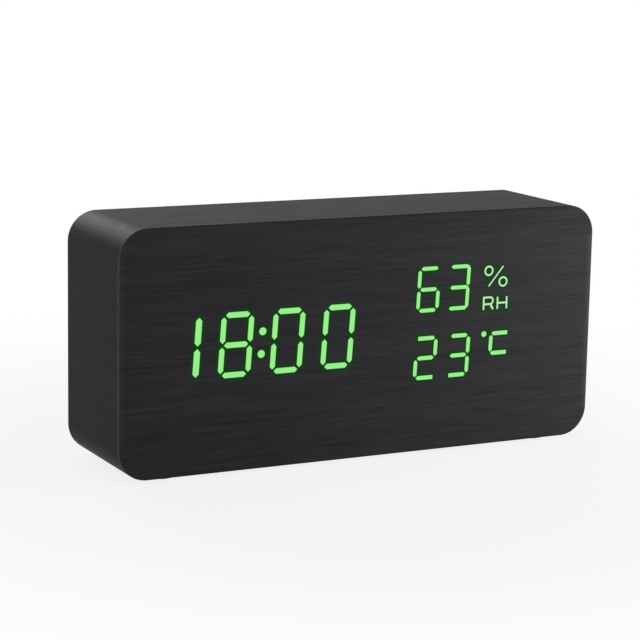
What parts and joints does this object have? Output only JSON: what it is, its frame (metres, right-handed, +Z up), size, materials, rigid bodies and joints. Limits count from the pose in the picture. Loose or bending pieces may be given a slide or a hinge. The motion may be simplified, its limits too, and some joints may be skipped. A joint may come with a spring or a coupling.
{
  "type": "digital alarm clock",
  "caption": "Box-shaped desk alarm clock in a rounded black wood-grain case, with a glowing readout of time, humidity and temperature, push buttons on the back and a hinged battery door.",
  "frame": {"origin": "on the table under the middle of the clock, between the feet", "axes": "+X to the right across the front, +Y from the front to the back, +Z up"},
  "size_m": [0.15, 0.038, 0.07],
  "materials": {
    "black_film": "satin wood-grain film",
    "fibreboard": "raw fibreboard",
    "rubber": "matte",
    "lit_guide": "clear light guide, lit green",
    "white_plastic": "matte",
    "black_plastic": "fine texture",
    "key_plastic": "satin",
    "board_green": "solder mask",
    "chip_black": "moulded",
    "steel": "plated",
    "dark_steel": "black oxide",
    "cell_jacket": "plain jacket",
    "red_sleeve": "satin",
    "black_sleeve": "satin",
    "grey_ribbon": "satin",
    "can_blue": "sleeve"
  },
  "bodies": {
    "clock": {"case_body": "fibreboard", "front_board": "fibreboard", "wrap_film": "black_film", "front_film": "black_film", "foot_front_left": "rubber", "foot_front_right": "rubber", "foot_back_left": "rubber", "foot_back_right": "rubber", "time_light_guide": "lit_guide", "humidity_light_guide": "lit_guide", "temperature_light_guide": "lit_guide", "reflector_frame": "white_plastic", "display_board": "board_green", "led_driver_chip": "chip_black", "display_screw_1": "steel", "display_screw_2": "steel", "display_screw_3": "steel", "display_screw_4": "steel", "back_panel": "black_plastic", "panel_screw_bottom_left": "dark_steel", "panel_screw_bottom_right": "dark_steel", "panel_screw_top_left": "dark_steel", "panel_screw_top_right": "dark_steel", "set_switch": "chip_black", "up_switch": "chip_black", "down_switch": "chip_black", "control_board": "board_green", "board_screw_1": "steel", "board_screw_2": "steel", "sound_switch": "steel", "power_inlet": "steel", "buzzer": "chip_black", "microphone": "steel", "smoothing_capacitor": "can_blue", "climate_sensor": "white_plastic", "processor": "chip_black", "quartz_crystal": "steel", "control_ribbon_socket": "white_plastic", "display_ribbon_socket": "white_plastic", "display_ribbon": "grey_ribbon", "cell_1": "cell_jacket", "cell_2": "cell_jacket", "cell_3": "cell_jacket", "cell_4": "cell_jacket", "positive_contact": "steel", "upper_link": "steel", "middle_link": "steel", "lower_link": "steel", "negative_contact": "steel", "positive_lead": "red_sleeve", "negative_lead": "black_sleeve"},
    "set_key": {"set_button": "key_plastic", "set_plunger": "white_plastic"},
    "up_key": {"up_button": "key_plastic", "up_plunger": "white_plastic"},
    "down_key": {"down_button": "key_plastic", "down_plunger": "white_plastic"},
    "sound_slider": {"sound_knob": "key_plastic"},
    "door": {"battery_door": "black_plastic"}
  },
  "joints": [
    {"name": "set_press", "type": "slide", "parent": "clock", "child": "set_key", "axis": [0, -1, 0], "range_m": [0, 0.0005], "stiffness_N_per_m": 2000},
    {"name": "up_press", "type": "slide", "parent": "clock", "child": "up_key", "axis": [0, -1, 0], "range_m": [0, 0.0005], "stiffness_N_per_m": 2000},
    {"name": "down_press", "type": "slide", "parent": "clock", "child": "down_key", "axis": [0, -1, 0], "range_m": [0, 0.0005], "stiffness_N_per_m": 2000},
    {"name": "sound_slide", "type": "slide", "parent": "clock", "child": "sound_slider", "axis": [1, 0, 0], "range_m": [0, 0.0025]},
    {"name": "door_hinge", "type": "hinge", "parent": "clock", "child": "door", "pos_m": [-0.0539, 0.0167, 0.0355], "axis": [0, 0, 1], "range_deg": [0, 90]}
  ]
}
